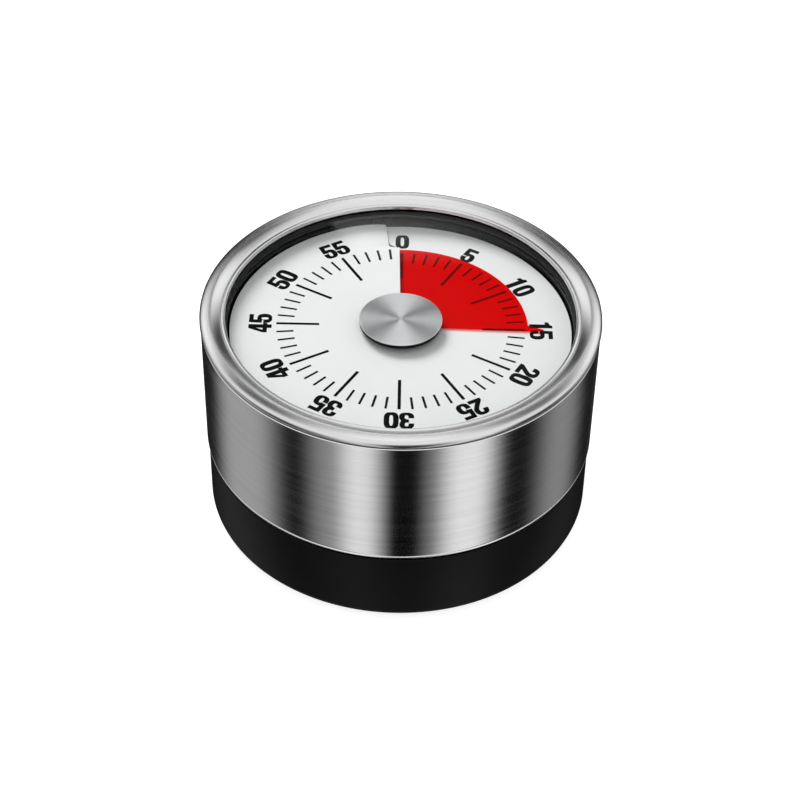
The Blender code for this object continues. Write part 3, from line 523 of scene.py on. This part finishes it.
def build_dial(finish):
    """Rows run once round from the slit, columns out across the top and back underneath."""
    hole = 6.2 * MM
    near_slit = np.linspace(SLIT_R, SLIT_R + SLIT_BLEND, 9)
    outside = np.linspace(SLIT_R + SLIT_BLEND + 0.4 * MM, DIAL_R, 10)
    radii = np.concatenate([np.linspace(hole, SLIT_R - 0.8 * MM, 8), near_slit, outside])
    radii = np.unique(np.round(radii, 7))
    turn = np.concatenate([np.linspace(0, 352, 177), np.linspace(352.5, 360, 16)])[:, None]
    angle = slit_angle(radii)[None] + turn
    x, y = polar(radii[None], angle)
    middle = dial_height(radii[None], angle)
    top = np.stack([x, y, middle + DIAL_THICK / 2], -1)
    bottom = np.stack([x, y, middle - DIAL_THICK / 2], -1)[:, ::-1]
    dial = swept("dial_face", np.concatenate([top, bottom], 1), 50)
    settle(dial, "base", finish, "dial_white", "dial_plate")


INK = 0.02 * MM  # how far the print's top stands above the dial
INK_FOOT = 0.002 * MM  # and its underside
TICK_OUT = 23.65 * MM


def on_dial(x, y, lift):
    """Points laid on the dial's top at x and y, raised by lift. Angles are counted on from the slit."""
    radius = np.hypot(x, y)
    start = slit_angle(radius)
    angle = (np.degrees(np.arctan2(x, y)) - start) % 360 + start
    return np.stack([x, y, dial_height(radius, angle) + DIAL_THICK / 2 + lift], -1)


def build_ticks(name, minutes, inner, width, finish):
    """Printed lines as thin bars: a centre line along each minute's radius, and half a width each side."""
    minutes = np.asarray(minutes, float)[:, None]
    a = np.radians(minutes * 6)
    along = np.array([inner, TICK_OUT, TICK_OUT, inner])[None]
    aside = np.array([-1, -1, 1, 1])[None] * width / 2
    x = along * np.sin(a) + aside * np.cos(a)
    y = along * np.cos(a) - aside * np.sin(a)
    low, high = on_dial(x, y, INK_FOOT), on_dial(x, y, INK)
    points = np.concatenate([low, high], 1)
    base = np.array([[0, 1, 2, 3], [7, 6, 5, 4], [0, 4, 5, 1], [1, 5, 6, 2], [2, 6, 7, 3], [3, 7, 4, 0]])
    faces = (base[None] + 8 * np.arange(len(minutes))[:, None, None]).reshape(-1, 4).tolist()
    settle(mesh_object(name, points, faces, 30), "base", finish, "black_shell")


def bowl(cx, cy, rx, ry, start, end, square=2.5, steps=14):
    """Points of a squarish oval, |x/rx|^n + |y/ry|^n = 1, from one angle to another."""
    t = np.radians(np.linspace(start, end, steps))
    c, s = np.cos(t), np.sin(t)
    return [
        (cx + rx * np.sign(a) * abs(a) ** (2 / square), cy + ry * np.sign(b) * abs(b) ** (2 / square))
        for a, b in zip(c, s)
    ]


def digit_outlines(digit):
    """Outlines of a bold narrow numeral one unit tall and 0.6 wide: the outside, then any hole."""
    if digit == "0":
        return [bowl(0.3, 0.5, 0.31, 0.5, 0, 348, 3.2, 30), bowl(0.3, 0.5, 0.082, 0.33, 0, 342, 2.8, 20)]
    if digit == "1":
        return [[(0.21, 0), (0.46, 0), (0.46, 1), (0.29, 1), (0.25, 0.9), (0.06, 0.83), (0.06, 0.66),
                 (0.21, 0.69)]]
    if digit == "2":
        outer = bowl(0.3, 0.71, 0.31, 0.29, 176, -22)
        inner = bowl(0.3, 0.71, 0.08, 0.125, -30, 180)
        return [outer + [(0.5, 0.44), (0.31, 0.2), (0.6, 0.2), (0.6, 0), (0.0, 0), (0.0, 0.15), (0.32, 0.54)]
                + inner + [(0.22, 0.65), (-0.01, 0.65)]]
    if digit == "3":
        outer = bowl(0.29, 0.74, 0.3, 0.26, 178, -38) + bowl(0.3, 0.27, 0.31, 0.27, 45, -178)
        inner = bowl(0.3, 0.28, 0.08, 0.12, -176, 80) + [(0.2, 0.43), (0.2, 0.61)]
        inner += bowl(0.29, 0.73, 0.08, 0.115, -80, 178)
        return [outer + [(-0.01, 0.34), (0.22, 0.34)] + inner + [(0.21, 0.66), (-0.01, 0.66)]]
    if digit == "4":
        outer = [(0.29, 0), (0.52, 0), (0.52, 0.19), (0.61, 0.19), (0.61, 0.38), (0.52, 0.38), (0.52, 1),
                 (0.26, 1), (-0.01, 0.38), (-0.01, 0.19), (0.29, 0.19)]
        return [outer, [(0.29, 0.38), (0.16, 0.38), (0.29, 0.68)]]
    outer = bowl(0.3, 0.325, 0.31, 0.325, 100, -178)
    inner = bowl(0.3, 0.31, 0.08, 0.16, -178, 170)
    return [[(0.03, 1.0), (0.57, 1.0), (0.57, 0.81), (0.22, 0.81), (0.21, 0.61)] + outer
            + [(-0.01, 0.38), (0.22, 0.38)] + inner + [(0.2, 0.43), (0.0, 0.45)]]


NUMERAL_LOW_R = 24.5 * MM
NUMERAL_TALL = 4.4 * MM
DIGIT_ADVANCE = 0.63
ZERO_OUT = 0.7 * MM  # the 0 stands this much further out, clear of the flap


def build_numeral(minute, finish):
    """A printed number with its top outwards: filled as a flat curve, thickened, then laid on the dial."""
    words = str(minute)
    curve = bpy.data.curves.new("numeral_outline", "CURVE")
    curve.dimensions = "2D"
    curve.fill_mode = "BOTH"
    wide = DIGIT_ADVANCE * (len(words) - 1) + 0.6
    for i, digit in enumerate(words):
        for outline in digit_outlines(digit):
            spline = curve.splines.new("POLY")
            spline.points.add(len(outline) - 1)
            flat = np.array([(x + i * DIGIT_ADVANCE - wide / 2, y, 0, 1) for x, y in outline])
            spline.points.foreach_set("co", flat.ravel())
            spline.use_cyclic_u = True
    guide = bpy.data.objects.new("numeral_outline", curve)
    bpy.context.scene.collection.objects.link(guide)
    bpy.context.view_layer.update()
    mesh = bpy.data.meshes.new_from_object(guide.evaluated_get(bpy.context.evaluated_depsgraph_get()))
    bpy.data.objects.remove(guide)
    shape = bmesh.new()
    shape.from_mesh(mesh)
    bmesh.ops.remove_doubles(shape, verts=shape.verts, dist=1e-5)
    grown = bmesh.ops.extrude_face_region(shape, geom=shape.faces[:])
    for vert in [item for item in grown["geom"] if isinstance(item, bmesh.types.BMVert)]:
        vert.co.z = 1.0
    shape.to_mesh(mesh)
    shape.free()
    flat = np.empty(len(mesh.vertices) * 3)
    mesh.vertices.foreach_get("co", flat)
    flat = flat.reshape(-1, 3)
    a = math.radians(minute * 6)
    low_r = NUMERAL_LOW_R + (0 if minute else ZERO_OUT)
    aside, out = flat[:, 0] * NUMERAL_TALL, low_r + flat[:, 1] * NUMERAL_TALL
    x = out * math.sin(a) + aside * math.cos(a)
    y = out * math.cos(a) - aside * math.sin(a)
    laid = on_dial(x, y, np.where(flat[:, 2] > 0.5, INK, INK_FOOT))
    faces = [list(face.vertices) for face in mesh.polygons]
    bpy.data.meshes.remove(mesh)
    settle(mesh_object(f"numeral_{minute}", laid, faces, 30), "base", finish, "black_shell")


def build_carrier(finish):
    """The dish under the dial. Its rim follows the dial's underside, and is split where the slit runs out."""
    low, floor = CARRIER_LOW.z, CARRIER_LOW.z + 1.2 * MM
    hole, rim_r, outer = 6.6 * MM, 27.8 * MM, CARRIER_HIGH.x
    clear = DIAL_THICK / 2 + 0.15 * MM
    angle = np.linspace(0.5 - SLIT_STEP, 359.5 - SLIT_STEP, 121)
    rings = np.linspace(outer, rim_r, 5)
    columns = [(hole, 0 * angle + low), (outer, 0 * angle + low)]
    columns += [(r, dial_height(r, angle) - clear) for r in rings]
    columns += [(rim_r, 0 * angle + floor), (hole, 0 * angle + floor)]
    loops = np.stack([np.stack([*polar(r, angle), z], -1) for r, z in columns], 1)
    settle(swept("carrier_dish", loops, 30), "base", finish, "black_shell", "dial_carrier")


# ---- Red disc ----


def build_film(finish):
    """The red disc: a screw surface from its hub ring to its edge, with a small pointer where it leads."""
    lead = SET_ANGLE + 1.5
    sweep = 354.0
    start = lead - sweep
    disc_r, tip_r, hole = 24.2 * MM, 27.2 * MM, 5.4 * MM
    angle = np.concatenate([np.linspace(start, lead - 4, 176), np.linspace(lead - 3.6, lead, 19)])
    rise = np.clip((angle - (lead - 3.4)) / 2.5, 0, 1)
    outer = disc_r + (tip_r - disc_r) * rise ** 1.2
    outer = np.where(angle > lead - 0.5, tip_r - (angle - lead + 0.5) / 0.5 * 1.6 * MM, outer)
    share = np.linspace(0, 1, 12)[None]
    radii = hole + (outer[:, None] - hole) * share
    x, y = polar(radii, angle[:, None])
    z = SCREW_MID_Z + PITCH * angle[:, None] / 360 + 0 * share
    top = np.stack([x, y, z + DISC_THICK / 2], -1)
    bottom = np.stack([x, y, z - DISC_THICK / 2], -1)[:, ::-1]
    settle(swept("red_foil", np.concatenate([top, bottom], 1), 40), "disc", finish, "disc_red", "red_disc")


# ---- Base ----


def build_cup(finish):
    """The fixed black cup: its wall, the shoulder under the drum, the neck's snap flange and the deck."""
    low, high = CUP_LOW.z, CUP_HIGH.z
    deck = 15.5 * MM
    neck, inner, deck_r = 33.6 * MM, 35.15 * MM, 27.5 * MM
    corners = [
        (CUP_R - 1.1 * MM, low, 1.2 * MM), (CUP_R - 0.35 * MM, low + 0.3 * MM, 0.6 * MM),
        (CUP_R, low + 1.2 * MM, 1.6 * MM), (CUP_R, deck, 0.35 * MM),
        (neck, deck, 0.1 * MM), (neck, high - 1 * MM, 0.05 * MM), (neck + 1 * MM, high - 1 * MM, 0.1 * MM),
        (neck + 1 * MM, high, 0.4 * MM), (neck - 2 * MM, high, 0.2 * MM), (neck - 2 * MM, deck, 0),
        (deck_r, deck, 0.1 * MM), (deck_r, deck - 2 * MM, 0.1 * MM), (inner, deck - 2 * MM, 0.3 * MM),
        (inner, low, 0.3 * MM),
    ]
    settle(turned("base_shell", rounded(corners), 320), "base", finish, "black_shell", "base_cup")


def build_foot(finish):
    """A flat rubber ring with three shallow grooves in its underside."""
    inner, outer, high = 27.6 * MM, FOOT_HIGH.x, FOOT_HIGH.z
    groove, deep = 0.25 * MM, 0.25 * MM
    middle = (inner + outer) / 2
    under = []
    for at in (outer - 0.7 * MM, middle, inner + 0.7 * MM):
        under += [(at + groove, 0, 0.05 * MM), (at + groove / 2, deep, 0.05 * MM),
                  (at - groove / 2, deep, 0.05 * MM), (at - groove, 0, 0.05 * MM)]
    corners = [(outer, 0, 0.15 * MM)] + under + [(inner, 0, 0.15 * MM)]
    corners += [(inner, high, 0.1 * MM), (outer, high, 0.1 * MM)]
    settle(turned("foot_ring", rounded(corners, 3), 192), "base", finish, "rubber", "rubber_foot")


# ---- Camera, light and floor ----


def build_camera():
    """Stands in front and 41 degrees up, turned a little about its own line of sight."""
    lens_mm, distance, elevation, roll = 91.13, 0.3975, 41.41, 1.116
    target = Vector((0.14 * MM, 0, 21.95 * MM))
    rise = math.radians(elevation)
    data = bpy.data.cameras.new("camera")
    data.lens = lens_mm
    data.sensor_width = 36
    data.clip_start = 0.01
    camera = bpy.data.objects.new("camera", data)
    bpy.context.scene.collection.objects.link(camera)
    eye = target + Vector((0, -math.cos(rise), math.sin(rise))) * distance
    aim = (target - eye).to_track_quat("-Z", "Y").to_matrix().to_4x4()
    camera.matrix_world = Matrix.Translation(eye) @ aim @ Matrix.Rotation(math.radians(roll), 4, "Z")
    bpy.context.scene.camera = camera


# Upright strips of light round the timer, low down: heading clockwise from the front seen from above, in
# degrees, then half width, softness at each side, and brightness.
STRIPS = [
    (-176, 4, 14, 0.06), (-103, 11, 26, 0.56), (-39.5, 2, 20, 0.40), (-21, 1, 19, 1.20), (24, 1, 14, 0.30),
    (43, 4, 20, 1.34), (109, 4, 25, 0.38), (172, 6, 16, 0.06),
]
STRIP_FLOOR = 0.004
# What the flat top mirrors in the front view is a dark flat with one soft slanting streak. Four panels
# stand round it, and past them the light is even. The ranges are lengths across the direction's unit sphere.
OVERHEAD_UP = (0.0, -0.638, 0.77)
FLAT_LEVEL, PANEL_LEVEL, FAR_LEVEL = 0.002, 1.9, 1.5
FLAT_TO, PANELS_FROM = 0.09, 0.13
PANELS_TO, FAR_FROM = 0.5, 0.75
STREAK_LEVEL, STREAK_REST, STREAK_WIDE, STREAK_SHARP = 3.6, 0.06, 0.09, 0.0005
STREAK_RISE, STREAK_SLOPE = 0.624, 0.84
STREAK_FULL_TO, STREAK_FADED_FROM = 0.59, 0.61
UPPER_FROM, UPPER_FULL = 0.08, 0.4  # heights between which the strips give way to the light above
EVEN_LEVEL = 0.7


def mixed(nodes, factor, a, b):
    node = nodes.add("Mix", data_type="FLOAT")
    for socket, value in zip((node.inputs[0], node.inputs[2], node.inputs[3]), (factor, a, b)):
        nodes.put(socket, value)
    return node.outputs[0]


def low_light(nodes, x, y):
    """Brightness of the strips by heading, each a flat top with soft sides."""
    turn = nodes.maths("ARCTAN2", x, nodes.maths("MULTIPLY", y, -1.0))
    heading = nodes.maths("MULTIPLY", turn, 180 / math.pi)
    total = STRIP_FLOOR
    for middle, half, soft, level in STRIPS:
        off = nodes.maths("ABSOLUTE", nodes.maths("SUBTRACT", heading, float(middle)))
        strip = nodes.ranged(off, float(half), float(half + soft), level, 0.0, smooth=True)
        total = nodes.maths("ADD", total, strip)
    return total


def high_light(nodes, direction, x, z):
    """Brightness above the horizon: |cos 2a| of the angle a round the dark flat, and even further out.

    The streak is bright along the line z = rise + slope x, and fades below it.
    """
    up = nodes.vector("DOT_PRODUCT", direction, OVERHEAD_UP)
    across2, up2 = nodes.maths("MULTIPLY", x, x), nodes.maths("MULTIPLY", up, up)
    away2 = nodes.maths("MAXIMUM", nodes.maths("ADD", across2, up2), 1e-6)
    petals = nodes.maths("DIVIDE", nodes.maths("ABSOLUTE", nodes.maths("SUBTRACT", across2, up2)), away2)
    away = nodes.maths("SQRT", away2)
    panels = nodes.ranged(petals, 0.3, 0.95, 0.0, PANEL_LEVEL)
    slant = nodes.maths("SUBTRACT", nodes.maths("MULTIPLY_ADD", x, STREAK_SLOPE, STREAK_RISE), z)
    edge = nodes.maths("MULTIPLY", nodes.ranged(slant, 0.0, STREAK_WIDE, STREAK_LEVEL, 0.0),
                       nodes.ranged(slant, -STREAK_SHARP, STREAK_SHARP, 0.0, 1.0))
    fade = nodes.ranged(z, STREAK_FULL_TO, STREAK_FADED_FROM, 1.0, STREAK_REST)
    flat = nodes.maths("ADD", nodes.maths("MULTIPLY", edge, fade), FLAT_LEVEL)
    to_panels = nodes.ranged(away, FLAT_TO, PANELS_FROM, 0.0, 1.0, smooth=True)
    to_far = nodes.ranged(away, PANELS_TO, FAR_FROM, 0.0, 1.0, smooth=True)
    return mixed(nodes, to_far, mixed(nodes, to_panels, flat, panels), FAR_LEVEL)


def build_world():
    """Gloss mirrors the dark studio with its strips and panels. All else is lit evenly."""
    world = bpy.data.worlds.new("studio")
    bpy.context.scene.world = world
    world.use_nodes = True
    nodes = Nodes(world.node_tree)
    world.node_tree.nodes.clear()
    direction = nodes.add("TexCoord").outputs["Generated"]
    x, y, z = parts_of(nodes, direction)
    above = nodes.ranged(z, UPPER_FROM, UPPER_FULL, 0.0, 1.0, smooth=True)
    mirror = nodes.add("Background")
    nodes.put(mirror.inputs["Strength"], mixed(nodes, above, low_light(nodes, x, y),
                                               high_light(nodes, direction, x, z)))
    even = nodes.add("Background")
    even.inputs["Strength"].default_value = EVEN_LEVEL
    choice = nodes.add("MixShader")
    nodes.join(nodes.add("LightPath").outputs["Is Glossy Ray"], choice.inputs[0])
    nodes.join(even.outputs[0], choice.inputs[1])
    nodes.join(mirror.outputs[0], choice.inputs[2])
    nodes.join(choice.outputs[0], nodes.add("OutputWorld").inputs["Surface"])


def area_light(name, heading, elevation, distance, size, power):
    data = bpy.data.lights.new(name, "AREA")
    data.shape = "DISK"
    data.size = size
    data.energy = power
    lamp = bpy.data.objects.new(name, data)
    bpy.context.scene.collection.objects.link(lamp)
    up, round_to = math.radians(elevation), math.radians(heading)
    away = Vector((math.cos(up) * math.sin(round_to), -math.cos(up) * math.cos(round_to), math.sin(up)))
    aim = away.to_track_quat("Z", "Y").to_matrix().to_4x4()
    lamp.matrix_world = Matrix.Translation(away * distance) @ aim
    lamp.visible_glossy = False


def build_floor():
    """A white light table: it scatters what falls on it, and glows a little itself."""
    made, nodes, shader = new_material("white_floor")
    soft = nodes.noise(place(nodes), 8.0, 2)
    nodes.put(shader.inputs["Base Color"], nodes.tint(soft, (0.6, 0.6, 0.6), (0.62, 0.62, 0.62)))
    shader.inputs["Roughness"].default_value = 0.9
    shader.inputs["Emission Color"].default_value = (1, 1, 1, 1)
    shader.inputs["Emission Strength"].default_value = 0.8
    half = 3.0
    points = [(-half, -half, 0), (half, -half, 0), (half, half, 0), (-half, half, 0)]
    floor = give(mesh_object("floor", points, [[0, 1, 2, 3]]), made)
    floor.visible_glossy = False


# ---- Putting it together ----

build_camera()
build_world()
build_floor()
area_light("key_light", heading=-150, elevation=42, distance=0.9, size=0.45, power=7.0)

drum_steel = turned_steel("brushed_drum_steel", upright=True, roughness=0.16)
ring_steel = turned_steel("brushed_ring_steel", (0.6, 0.6, 0.605), roughness=0.23)
cap_steel = turned_steel("spun_cap_steel", roughness=0.3, grain=0.02, relief=0.1)
base_black = moulded("matte_black_abs", (0.002, 0.002, 0.0023), 0.42, specular=0.11)
well_black = moulded("glossy_black_abs", (0.0025, 0.0025, 0.003), 0.3, relief=0.02, specular=0.08)
dial_white = moulded("white_dial_card", (0.85, 0.85, 0.85), 0.55, speckle=0.015, relief=0.03)
ink_black = moulded("black_print", (0.004, 0.004, 0.004), 0.6, relief=0.05, specular=0.04)
ink_grey = moulded("grey_print", (0.012, 0.012, 0.012), 0.6, relief=0.05, specular=0.04)
foot_rubber = moulded("black_rubber", (0.02, 0.02, 0.02), 0.75, scale=1500.0, relief=0.25)
brass = metal("rolled_brass", (0.78, 0.58, 0.22), 0.28)
zinc = metal("zinc_plate", (0.6, 0.61, 0.63), 0.32)
bell_steel = metal("bell_steel", (0.72, 0.7, 0.64), 0.2)
ferrite = moulded("sintered_ferrite", (0.04, 0.04, 0.043), 0.65, scale=900.0, relief=0.3)
acetal = moulded("natural_acetal", (0.75, 0.75, 0.72), 0.45)
foil = red_film("red_foil_film")
pane = clear_window("clear_pane")

build_bezel(ring_steel)
build_shell(drum_steel)
build_liner(well_black)
build_window(pane)
build_cap(cap_steel)
build_skirt(base_black)
build_dial(dial_white)
build_ticks("five_minute_lines", range(0, 60, 5), 15.5 * MM, 0.6 * MM, ink_black)
build_ticks("minute_lines", [m for m in range(60) if m % 5], 20.4 * MM, 0.46 * MM, ink_grey)
for minute in range(0, 60, 5):
    build_numeral(minute, ink_black)
build_carrier(base_black)
build_film(foil)
build_cup(base_black)
build_foot(foot_rubber)

slot_finish = {
    "steel": drum_steel, "black_shell": base_black, "black_inner": well_black, "window": pane,
    "dial_white": dial_white, "disc_red": foil, "rubber": foot_rubber, "brass": brass, "zinc": zinc,
    "ferrite": ferrite, "bell": bell_steel, "white_plastic": acetal,
}
for subpart in frame["record"]["subparts"]:
    give(frame["nodes"][subpart["node"]], slot_finish[subpart["material_slot"]])

bpy.context.scene.view_settings.view_transform = "Standard"
